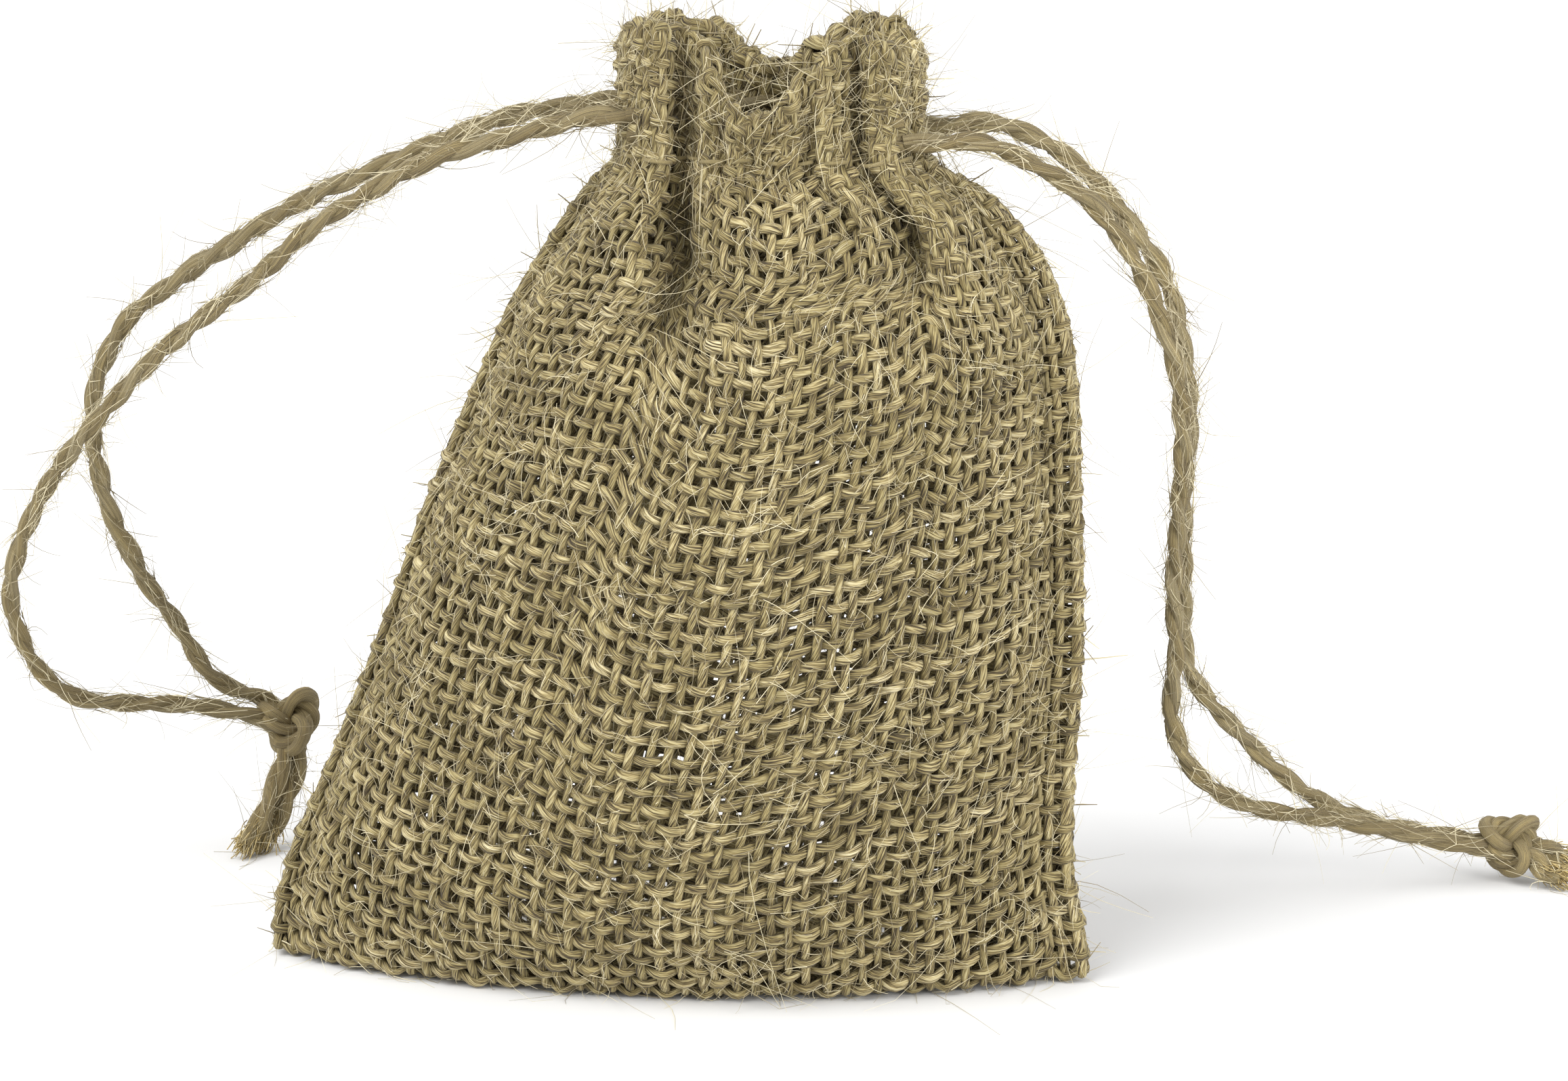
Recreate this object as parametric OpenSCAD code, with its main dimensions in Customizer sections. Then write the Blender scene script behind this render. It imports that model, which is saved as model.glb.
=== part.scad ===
// Small drawstring gift pouch in coarse jute cloth, standing upright with its neck gathered.
// Millimetres. Origin on the resting surface under the middle of the base, +Z up,
// -Y is the front, +X is the viewer's right.

/* [Pouch] */
// Width across the two base corners
base_w = 88; // [82:1:94]
// Depth of the belly, front to back
belly_d = 40; // [36:1:44]
// Thickness of the cloth wall
cloth_t = 2; // [1.6:0.1:2.2]
// Width of the flat sewn edge down each side
seam_w = 3.5; // [3:0.5:4]
// Thickness of the sewn edge, two layers of cloth
seam_t = 2.4; // [2:0.2:2.8]

/* [Neck] */
// Height of the stitch line under the casing
casing_z = 87.8; // [86:0.2:90]
// Height of the casing that the strings run in
casing_h = 7.2; // [7.2:0.1:7.6]
// Width of the gathered neck
neck_w = 32; // [30:1:34]
// Depth of the gathered neck, front to back
neck_d = 16.8; // [16.8:0.2:18]
// How far the neck stands to the right of the base's middle
neck_lean = 10; // [8:0.5:11]
// Gap between the front and back halves of the neck
mouth_gap = 4.4; // [4.2:0.1:4.6]
// Height of the frill above the casing at its highest lobe
frill_h = 7.2; // [6:0.2:8]

/* [Drawstrings] */
// Diameter of the two-ply jute string
string_d = 2; // [1.8:0.1:2]
// Distance that each string can still be pulled out
string_pull = 5; // [3:0.5:5]

/* [Stitching] */
// Diameter of the sewing thread
thread_d = 0.6; // [0.4:0.1:0.8]
// Distance from one stitch to the next
stitch_pitch = 4; // [3:0.5:5]
// Length of one stitch
stitch_len = 2.2; // [1.6:0.2:2.4]

/* [Hidden] */

jute = [0.56, 0.51, 0.37];
jute_dark = [0.47, 0.42, 0.29];
string_tan = [0.70, 0.61, 0.43];
thread_tan = [0.62, 0.56, 0.42];

small_gap = 0.3;
neck_half_w = neck_w / 2;
neck_half_d = neck_d / 2;
neck_left = neck_lean - neck_half_w;
neck_right = neck_lean + neck_half_w;
half_base = base_w / 2;
half_belly = belly_d / 2;

// Outline of the filled pouch: height, left edge and right edge as shares of half the base,
// and half depth as a share of half the belly. The last row is the neck.
OUTLINE = [
    [0, -1, 1, 0.55],
    [5, -1, 0.99, 0.70],
    [12, -0.955, 0.955, 0.85],
    [22, -0.85, 0.955, 0.95],
    [37, -0.715, 0.975, 1],
    [51, -0.60, 0.965, 1],
    [62, -0.49, 0.955, 0.93],
    [71, -0.40, 0.93, 0.83],
    [78, -0.305, 0.865, 0.70],
    [84, -0.215, 0.75, 0.56],
    [casing_z, neck_left / half_base, neck_right / half_base, neck_half_d / half_belly]
];
LEVELS = [0, 2.5, 5, 8, 12, 22, 37, 51, 62, 67, 71, 75, 78, 81, 84, casing_z];

function column(i) = [for (row = OUTLINE) [row[0], row[i]]];
function edge_left(z) = half_base * lookup(z, column(1));
function edge_right(z) = half_base * lookup(z, column(2));
function half_depth(z) = half_belly * lookup(z, column(3));

// The section is a pinched lens at the base and fills out towards the neck.
neck_share_z = 60;
function neck_share(z) = max(0, (z - neck_share_z) / (casing_z - neck_share_z));
function crown(u, z) = pow(max(0, 1 - pow(abs(u), 2 + 2 * neck_share(z))), 0.8 - 0.35 * neck_share(z));

// Gathering folds: middle of the valley from -1 to 1 across the panel, half width, depth at the
// neck, and the height at which the valley has died out.
FRONT_FOLDS = [[-0.52, 0.16, 2.6, 62], [0.68, 0.14, 2.2, 68]];
BACK_FOLDS = [[-0.35, 0.16, 2.4, 64], [0.25, 0.15, 2.2, 66], [0.72, 0.12, 1.8, 70]];
function fold(u, z, folds) = [for (f = folds)
    f[2] * exp(-pow((u - f[0]) / f[1], 2)) * max(0, (z - f[3]) / (casing_z - f[3]))];
function total(v, i = 0) = i < len(v) ? v[i] + total(v, i + 1) : 0;

PANEL_STEPS = 24;
inner_corner = 2;
// Points of one panel's ring at height z, from the left seam round the front to the right one.
// The inner ring follows the same folds, one cloth thickness further in.
function outer_ring(z, folds) =
    let (a = edge_left(z) + seam_w, b = edge_right(z) - seam_w, d = half_depth(z) - seam_t / 2)
    concat([[a, 0, z]],
        [for (i = [0:PANEL_STEPS]) let (u = -1 + 2 * i / PANEL_STEPS)
            [a + (b - a) * (u + 1) / 2,
             -seam_t / 2 - max(0, d * crown(u, z) - total(fold(u, z, folds))), z]],
        [[b, 0, z]]);
function inner_ring(z, folds) =
    let (a = edge_left(z) + seam_w + inner_corner, b = edge_right(z) - seam_w - inner_corner,
         d = half_depth(z) - cloth_t)
    concat([[a, 0, z]],
        [for (i = [0:PANEL_STEPS]) let (u = -1 + 2 * i / PANEL_STEPS)
            [a + (b - a) * (u + 1) / 2,
             -0.1 - max(0, d * crown(u, z) - total(fold(u, z, folds))), z]],
        [[b, 0, z]]);

// One half of the bag: a curved wall with half of the folded bottom, cut flat at y = 0.
module panel(folds) {
    m = PANEL_STEPS + 3;
    n = len(LEVELS);
    points = concat(
        [for (z = LEVELS) each outer_ring(z, folds)],
        [for (z = LEVELS) each inner_ring(max(z, cloth_t), folds)]
    );
    function o(k, i) = k * m + i;
    function p(k, i) = n * m + k * m + i;
    faces = concat(
        [for (k = [0:n - 2]) for (i = [0:m - 2]) each [
            [o(k, i), o(k + 1, i), o(k + 1, i + 1)], [o(k, i), o(k + 1, i + 1), o(k, i + 1)]]],
        [for (k = [0:n - 2]) for (i = [0:m - 2]) each [
            [p(k, i), p(k + 1, i + 1), p(k + 1, i)], [p(k, i), p(k, i + 1), p(k + 1, i + 1)]]],
        [[for (i = [0:m - 1]) o(0, i)]],
        [[for (i = [m - 1:-1:0]) p(0, i)]],
        [for (i = [0:m - 2]) [o(n - 1, i), p(n - 1, i), p(n - 1, i + 1), o(n - 1, i + 1)]],
        [for (k = [0:n - 2]) [o(k, 0), p(k, 0), p(k + 1, 0), o(k + 1, 0)]],
        [for (k = [0:n - 2]) [o(k, m - 1), o(k + 1, m - 1), p(k + 1, m - 1), p(k, m - 1)]],
        [[o(0, 0), o(0, m - 1), p(0, m - 1), p(0, 0)]]
    );
    polyhedron(points, faces, convexity = 6);
}

module front_panel() {
    color(jute) panel(FRONT_FOLDS);
}

module back_panel() {
    color(jute) mirror([0, 1, 0]) panel(BACK_FOLDS);
}

// A flat sewn edge: both layers of cloth stitched together, following one side's outline.
module side_seam(outer, inner) {
    color(jute_dark) rotate([90, 0, 0]) linear_extrude(height = seam_t, center = true)
        polygon(concat(outer, [for (i = [len(inner) - 1:-1:0]) inner[i]]));
}

module left_side_seam() {
    side_seam([for (z = LEVELS) [edge_left(z), z]], [for (z = LEVELS) [edge_left(z) + seam_w, z]]);
}

module right_side_seam() {
    side_seam([for (z = LEVELS) [edge_right(z), z]], [for (z = LEVELS) [edge_right(z) - seam_w, z]]);
}

// A running stitch lying on a cloth face, centred on its place.
module stitch() {
    cylinder(h = stitch_len, d = thread_d, center = true, $fn = 16);
}

// Stitches up the middle of a seam, on its front face and its back face.
seam_stitch_low = 5;
seam_stitch_high = 84;
module seam_stitches(edge_x) {
    color(thread_tan) for (z = [seam_stitch_low:stitch_pitch:seam_stitch_high]) for (side = [-1, 1])
        translate([edge_x(z), side * (seam_t + thread_d) / 2, z]) stitch();
}

module left_seam_stitches() {
    seam_stitches(function(z) edge_left(z) + seam_w / 2);
}

module right_seam_stitches() {
    seam_stitches(function(z) edge_right(z) - seam_w / 2);
}

// The casing: the top of the cloth folded in and stitched, here half of it with the channel
// that both strings run through. Its inner layer stops short of the ends, where each string
// turns back across the mouth.
string_y = 5.2;
channel_w = 3.6;
casing_round = 3;
right_string_z = casing_z + 2.6;
left_string_z = right_string_z + string_d + 0.2;
channel_low = right_string_z - string_d / 2 - 0.25;
channel_high = left_string_z + string_d / 2 + 0.25;
turn_r = string_y;
left_turn_x = neck_left + small_gap + turn_r + string_d / 2;
right_turn_x = neck_right - small_gap - turn_r - string_d / 2;

module rounded_half(w, d, r) {
    union() {
        translate([-w / 2, -d + r]) square([w, d - r]);
        translate([-w / 2 + r, -d]) square([w - 2 * r, r]);
        for (side = [-1, 1]) translate([side * (w / 2 - r), -d + r]) circle(r, $fn = 48);
    }
}

module casing() {
    inner_left = left_turn_x + string_pull + small_gap;
    inner_right = right_turn_x - string_pull - small_gap;
    channel_h = channel_high - channel_low;
    difference() {
        translate([neck_lean, -mouth_gap / 2, casing_z]) linear_extrude(height = casing_h)
            rounded_half(neck_w, neck_half_d - mouth_gap / 2, casing_round);
        translate([neck_left - 1, -string_y - channel_w / 2, channel_low])
            cube([neck_w + 2, channel_w, channel_h]);
        translate([neck_left - 1, -string_y, channel_low])
            cube([inner_left - neck_left + 1, string_y, channel_h]);
        translate([inner_right, -string_y, channel_low])
            cube([neck_right - inner_right + 1, string_y, channel_h]);
    }
}

module front_casing() {
    color(jute) casing();
}

module back_casing() {
    color(jute) mirror([0, 1, 0]) casing();
}

// The line of stitches that closes the bottom of the casing.
module casing_stitches() {
    run = neck_w - 2 * casing_round - stitch_len;
    count = floor(run / stitch_pitch) + 1;
    start = neck_lean - (count - 1) * stitch_pitch / 2;
    for (i = [0:count - 1])
        translate([start + i * stitch_pitch, -(neck_d + thread_d) / 2, casing_z + 0.7])
            rotate([0, 90, 0]) stitch();
}

module front_casing_stitches() {
    color(thread_tan) casing_stitches();
}

module back_casing_stitches() {
    color(thread_tan) mirror([0, 1, 0]) casing_stitches();
}

// The frill: the gathered cloth above the casing, half of it as a wavy wall whose top edge
// rises in two lobes with a dip between them.
frill_t = 1.8;
frill_wave = 1.1;
frill_z = casing_z + casing_h + small_gap;
frill_top = casing_z + casing_h + frill_h;
frill_edge = 0.6;
FRILL_STEPS = 48;
function frill_x(i) = neck_left + frill_edge + (neck_w - 2 * frill_edge) * i / FRILL_STEPS;
function frill_y(i) = -neck_half_d + frill_wave * (1 - cos(360 * 3 * i / FRILL_STEPS));

module frill(lobes) {
    intersection() {
        translate([0, 0, frill_z]) linear_extrude(height = frill_h)
            polygon(concat(
                [for (i = [0:FRILL_STEPS]) [frill_x(i), frill_y(i)]],
                [for (i = [FRILL_STEPS:-1:0]) [frill_x(i), frill_y(i) + frill_t]]));
        translate([0, neck_d, 0]) rotate([90, 0, 0]) linear_extrude(height = 2 * neck_d)
            polygon(concat([[neck_left, frill_z - 1]],
                [for (l = lobes) [neck_lean + l[0] * neck_half_w, frill_z + l[1] * (frill_h - small_gap)]],
                [[neck_right, frill_z - 1]]));
    }
}

// Top edge of each half, from left to right: place across the neck and share of the height.
FRONT_LOBES = [[-1, 0.45], [-0.9, 0.75], [-0.7, 0.85], [-0.45, 0.7], [-0.15, 0.4], [0.15, 0.3],
    [0.4, 0.45], [0.6, 0.75], [0.8, 0.8], [0.93, 0.65], [1, 0.4]];
BACK_LOBES = [[-1, 0.6], [-0.9, 0.9], [-0.7, 1], [-0.45, 0.9], [-0.15, 0.5], [0, 0.45],
    [0.25, 0.65], [0.5, 0.95], [0.8, 1], [0.93, 0.8], [1, 0.5]];

module front_frill() {
    color(jute) frill(FRONT_LOBES);
}

module back_frill() {
    color(jute) mirror([0, 1, 0]) frill(BACK_LOBES);
}

// Each string runs through the front casing, turns round at the far side of the neck and comes
// back through the back casing.
leg_inset = 2;
module string_run(turn_x, open_x, z) {
    away = sign(turn_x - open_x);
    color(string_tan) translate([turn_x, 0, z]) {
        for (side = [-1, 1]) translate([0, side * string_y, 0]) rotate([0, -90 * away, 0])
            cylinder(h = abs(turn_x - open_x), d = string_d, $fn = 32);
        rotate([0, 0, -90 * away]) rotate_extrude(angle = 180, $fn = 64)
            translate([turn_r, 0]) circle(d = string_d, $fn = 32);
    }
}

module left_string_run() {
    string_run(right_turn_x, neck_left + leg_inset, left_string_z);
}

module right_string_run() {
    string_run(left_turn_x, neck_right - leg_inset, right_string_z);
}

// Free ends of the strings, from just inside the casing to the knot.
LEFT_START = [neck_left + leg_inset, string_y, left_string_z];
RIGHT_START = [neck_right - leg_inset, string_y, right_string_z];
LEFT_BACK_ROUTE = [
    LEFT_START, [-7.5, 5.2, 92.6], [-12.5, 5.5, 91.8], [-19, 6.3, 90.3], [-27.5, 8, 86.8],
    [-34.5, 9.5, 83.5], [-40, 11, 81], [-47, 13, 76.8], [-55.5, 16, 71], [-62, 18, 66],
    [-65.5, 20, 60.5], [-67.5, 22, 55.5], [-68, 24.5, 48.5], [-67, 27.5, 41], [-64.5, 30.5, 33.5],
    [-61.5, 33.5, 27.5], [-59, 36, 21.5], [-56.5, 38, 18.8], [-53, 39.8, 17]
];
LEFT_FRONT_ROUTE = [
    [LEFT_START[0], -string_y, left_string_z], [-7.5, -5.2, 92.6], [-12, -4.6, 91.4],
    [-17.5, -3, 89.7], [-24.5, -1, 87.4], [-30, 0.5, 84.5], [-38.5, 3.5, 79], [-46.5, 7, 72],
    [-52, 9, 67.8], [-58, 11.5, 62.8], [-64, 14.5, 56.5], [-68.5, 16.5, 51.5], [-72.5, 19, 46],
    [-76, 21.5, 39.5], [-78, 23.5, 33], [-77.5, 26, 27], [-75.5, 28.5, 22], [-72, 30.5, 19],
    [-66, 33, 18], [-60, 35.5, 17.2], [-54, 37.5, 15.6]
];
RIGHT_BACK_ROUTE = [
    RIGHT_START, [27.5, 5.2, 90.4], [31, 5.8, 90.9], [35, 6.7, 90], [40, 8, 87], [44.5, 9.5, 82.5],
    [48, 11, 77.5], [51, 12.5, 71.5], [52.5, 14.5, 64], [53, 16.5, 57.5], [52.5, 18.5, 49.5],
    [52.5, 20.5, 43.5], [52.5, 22.5, 36.5], [53, 24.5, 29], [55, 26, 24.5], [59.5, 28.5, 19],
    [63.5, 30.5, 14.5], [68.5, 32.7, 10.5], [74, 34.8, 7.8], [79.5, 36.8, 6.2], [85.5, 38.8, 4.9]
];
RIGHT_FRONT_ROUTE = [
    [RIGHT_START[0], -string_y, right_string_z], [27.5, -5.2, 90.4], [32, -4.2, 90.4],
    [37, -2.5, 88], [41.5, -0.8, 85], [45, 1, 81], [47.5, 2.5, 77], [50, 4.5, 71],
    [51.8, 6.5, 64.5], [52.5, 8.5, 58.5], [52.3, 11, 51.5], [52, 13, 45.5], [51.7, 15.5, 38.5],
    [52, 18, 31], [51.5, 20, 25.5], [52, 22, 21], [54, 24, 16.5], [57.5, 26, 13],
    [62.5, 28.2, 10.8], [67.5, 30.4, 9.6], [73.5, 32.7, 8], [79.5, 34.7, 6.2], [85.5, 36.6, 4.7]
];

TUBE_SIDES = 8;
function unit(v) = v / norm(v);
function heading(route, i) =
    unit(route[min(i + 1, len(route) - 1)] - route[max(i - 1, 0)]);

// A round string swept along its route, one ring at each point.
module string_tube(route) {
    sides_up = [0, 1, 0.2];
    last = len(route) - 1;
    points = [for (i = [0:last])
        let (t = heading(route, i), a = unit(cross(t, sides_up)), b = cross(t, a))
        for (k = [0:TUBE_SIDES - 1]) let (turn = 360 * k / TUBE_SIDES)
            route[i] + string_d / 2 * (a * cos(turn) + b * sin(turn))];
    faces = concat(
        [[for (k = [0:TUBE_SIDES - 1]) k]],
        [for (i = [0:last - 1]) for (k = [0:TUBE_SIDES - 1])
            let (j = (k + 1) % TUBE_SIDES, p = i * TUBE_SIDES)
            each [[p + k, p + TUBE_SIDES + k, p + TUBE_SIDES + j],
                  [p + k, p + TUBE_SIDES + j, p + j]]],
        [[for (k = [TUBE_SIDES - 1:-1:0]) last * TUBE_SIDES + k]]
    );
    color(string_tan) polyhedron(points, faces, convexity = 8);
}

module left_front_leg() {
    string_tube(LEFT_FRONT_ROUTE);
}

module left_back_leg() {
    string_tube(LEFT_BACK_ROUTE);
}

module right_front_leg() {
    string_tube(RIGHT_FRONT_ROUTE);
}

module right_back_leg() {
    string_tube(RIGHT_BACK_ROUTE);
}

// Overhand knot that ties the two ends of one string together, as a rounded lump of its turns.
knot_turn_d = 4.2;
knot_reach = 1.9;
LEFT_KNOT = [-50.2, 40, 14];
RIGHT_KNOT = [89.5, 39.3, 4.1];
KNOT_TURNS = [[-1, 0, 0.6], [1, 0.2, 0.7], [-0.5, -0.7, -0.8], [0.7, 0.8, -0.6], [0.2, -1, 0.4]];
module knot(centre) {
    color(string_tan) translate(centre) hull()
        for (turn = KNOT_TURNS) translate(knot_reach * turn) sphere(d = knot_turn_d, $fn = 24);
}

module left_knot() {
    knot(LEFT_KNOT);
}

module right_knot() {
    knot(RIGHT_KNOT);
}

// The short frayed ends below each knot.
LEFT_TAIL_ROUTES = [
    [[-50.5, 38.5, 10.8], [-51.5, 36.5, 7], [-53, 34.5, 3.5], [-54.2, 33.2, 1.2]],
    [[-48.2, 39.5, 10.8], [-48.6, 38.6, 7], [-49.6, 37.4, 3.5], [-50.6, 36.4, 1.2]]
];
RIGHT_TAIL_ROUTES = [
    [[92.2, 37.5, 3.2], [93, 37, 2], [94, 36.8, 1.2], [95, 36.8, 1.1]],
    [[93, 40.5, 4], [94.4, 41.8, 3], [95.6, 43, 1.8], [96.4, 44, 1.2]]
];

module left_tails() {
    for (route = LEFT_TAIL_ROUTES) string_tube(route);
}

module right_tails() {
    for (route = RIGHT_TAIL_ROUTES) string_tube(route);
}

front_panel();
back_panel();
left_side_seam();
right_side_seam();
left_seam_stitches();
right_seam_stitches();
front_casing();
back_casing();
front_casing_stitches();
back_casing_stitches();
front_frill();
back_frill();
left_string_run();
left_front_leg();
left_back_leg();
left_knot();
left_tails();
right_string_run();
right_front_leg();
right_back_leg();
right_knot();
right_tails();
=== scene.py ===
# %% [markdown]
# # A drawstring gift pouch in coarse jute cloth
#
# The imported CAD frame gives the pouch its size, its bodies and its joints. This lesson gives it
# its looks. The real pouch is one strip of open plain weave, folded at the bottom and sewn at
# both sides, with its top folded in round two jute strings. At this scale every yarn can be
# seen, so a flat sheet with a woven picture on it would never pass for the real thing. Each warp
# and each weft is therefore modelled as a yarn of its own that goes over and under the others.

import math

import bmesh
import bpy
import numpy as np
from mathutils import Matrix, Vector


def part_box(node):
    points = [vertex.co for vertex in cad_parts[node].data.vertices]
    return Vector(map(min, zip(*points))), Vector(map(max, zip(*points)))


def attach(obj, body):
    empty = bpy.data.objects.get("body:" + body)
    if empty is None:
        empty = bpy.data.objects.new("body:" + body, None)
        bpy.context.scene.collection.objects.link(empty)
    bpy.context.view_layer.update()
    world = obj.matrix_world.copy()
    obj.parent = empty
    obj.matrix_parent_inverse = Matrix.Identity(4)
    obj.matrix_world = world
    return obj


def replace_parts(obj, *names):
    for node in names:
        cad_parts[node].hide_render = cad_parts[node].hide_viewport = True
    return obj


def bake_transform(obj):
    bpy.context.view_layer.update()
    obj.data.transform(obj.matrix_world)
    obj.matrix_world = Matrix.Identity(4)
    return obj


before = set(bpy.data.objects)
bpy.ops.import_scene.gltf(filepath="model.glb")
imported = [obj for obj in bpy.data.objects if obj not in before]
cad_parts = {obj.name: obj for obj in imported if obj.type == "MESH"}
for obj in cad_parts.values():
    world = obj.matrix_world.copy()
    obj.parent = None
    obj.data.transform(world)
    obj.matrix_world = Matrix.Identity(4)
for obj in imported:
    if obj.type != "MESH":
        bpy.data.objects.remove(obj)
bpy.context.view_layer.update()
MM = 0.001


def node_box(name):
    """Lowest and highest corners of a CAD node, in millimetres."""
    low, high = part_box(name)
    return np.array(low) / MM, np.array(high) / MM


# %% [markdown]
# ## Camera, light and floor
#
# A long lens a little above the table and a few degrees to the right of the pouch's front keeps
# its proportions calm. The light is a bright white room with a wide soft sun from the upper left,
# which models the yarns without hard shadows, and a weak lamp on the right that opens the shade
# there. The floor is plain and almost white.

# %% Camera
CAMERA_AZIMUTH, CAMERA_ELEVATION = math.radians(6.0), math.radians(14.0)
CAMERA_DISTANCE = 520 * MM
CAMERA_AIM = Vector((11.3, 0, 47.3)) * MM
LENS_MM = 114.2

looking = Vector((
    -math.sin(CAMERA_AZIMUTH) * math.cos(CAMERA_ELEVATION),
    math.cos(CAMERA_AZIMUTH) * math.cos(CAMERA_ELEVATION),
    -math.sin(CAMERA_ELEVATION)))
camera_data = bpy.data.cameras.new("camera")
camera_data.sensor_width = 36
camera_data.lens = LENS_MM
camera_data.clip_start = 10 * MM
camera = bpy.data.objects.new("camera", camera_data)
camera.location = CAMERA_AIM - looking * CAMERA_DISTANCE
camera.rotation_euler = looking.to_track_quat("-Z", "Y").to_euler()
bpy.context.scene.collection.objects.link(camera)
bpy.context.scene.camera = camera
bpy.context.scene.view_settings.view_transform = "Standard"


# %% Colour and node helpers
def linear(hex_colour, alpha=1.0):
    """An sRGB hex colour as the linear values that a shader takes."""
    channels = [int(hex_colour[i:i + 2], 16) / 255 for i in (0, 2, 4)]
    return [c / 12.92 if c <= 0.04045 else ((c + 0.055) / 1.055) ** 2.4 for c in channels] + [alpha]


def add(tree, kind, inputs=(), **settings):
    """Adds one shader node. An input that is a socket is linked, and any other value is set."""
    made = tree.nodes.new("ShaderNode" + kind)
    for name, value in settings.items():
        setattr(made, name, value)
    for name, value in dict(inputs).items():
        if isinstance(value, bpy.types.NodeSocket):
            tree.links.new(value, made.inputs[name])
        else:
            made.inputs[name].default_value = value
    return made


def new_material(name):
    """An empty material with its output node."""
    material = bpy.data.materials.new(name)
    material.use_nodes = True
    material.node_tree.nodes.clear()
    return material, material.node_tree, add(material.node_tree, "OutputMaterial")


# %% Light
ROOM_STRENGTH = 0.95
SUN_STRENGTH, SUN_WIDTH, SUN_WAY = 3.0, math.radians(46), (420, 400, -600)
SIDE_LAMP_WATTS, SIDE_LAMP_SIZE = 4.0, 300
world = bpy.data.worlds.new("white_room")
world.use_nodes = True
world.node_tree.nodes["Background"].inputs["Color"].default_value = linear("ffffff")
world.node_tree.nodes["Background"].inputs["Strength"].default_value = ROOM_STRENGTH
bpy.context.scene.world = world


def soft_lamp(name, place, aim, size, watts):
    """A square area lamp, in millimetres, that looks at a point."""
    data = bpy.data.lights.new(name, "AREA")
    data.size = size * MM
    data.energy = watts
    lamp = bpy.data.objects.new(name, data)
    lamp.location = Vector(place) * MM
    lamp.rotation_euler = (Vector(aim) - Vector(place)).to_track_quat("-Z", "Y").to_euler()
    bpy.context.scene.collection.objects.link(lamp)
    return lamp


key_data = bpy.data.lights.new("key_window", "SUN")
key_data.energy, key_data.angle = SUN_STRENGTH, SUN_WIDTH
key = bpy.data.objects.new("key_window", key_data)
key.rotation_euler = Vector(SUN_WAY).to_track_quat("-Z", "Y").to_euler()
bpy.context.scene.collection.objects.link(key)
soft_lamp("side_lamp", (620, -420, 240), (0, 0, 45), SIDE_LAMP_SIZE, SIDE_LAMP_WATTS)
print("lights: a sun", round(math.degrees(SUN_WIDTH)), "degrees wide and a lamp of",
      SIDE_LAMP_WATTS, "watts")

# %% Floor
floor_mesh = bpy.data.meshes.new("floor")
with_floor = bmesh.new()
bmesh.ops.create_grid(with_floor, x_segments=1, y_segments=1, size=3.0)
with_floor.to_mesh(floor_mesh)
with_floor.free()
floor = bpy.data.objects.new("floor", floor_mesh)
bpy.context.scene.collection.objects.link(floor)
paper, tree, output = new_material("white_paper")
sheet_of_paper = add(tree, "BsdfPrincipled", {"Base Color": linear("dcdcdc"), "Roughness": 0.9,
                                              "Specular IOR Level": 0.1})
tree.links.new(sheet_of_paper.outputs[0], output.inputs["Surface"])
floor_mesh.materials.append(paper)
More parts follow.
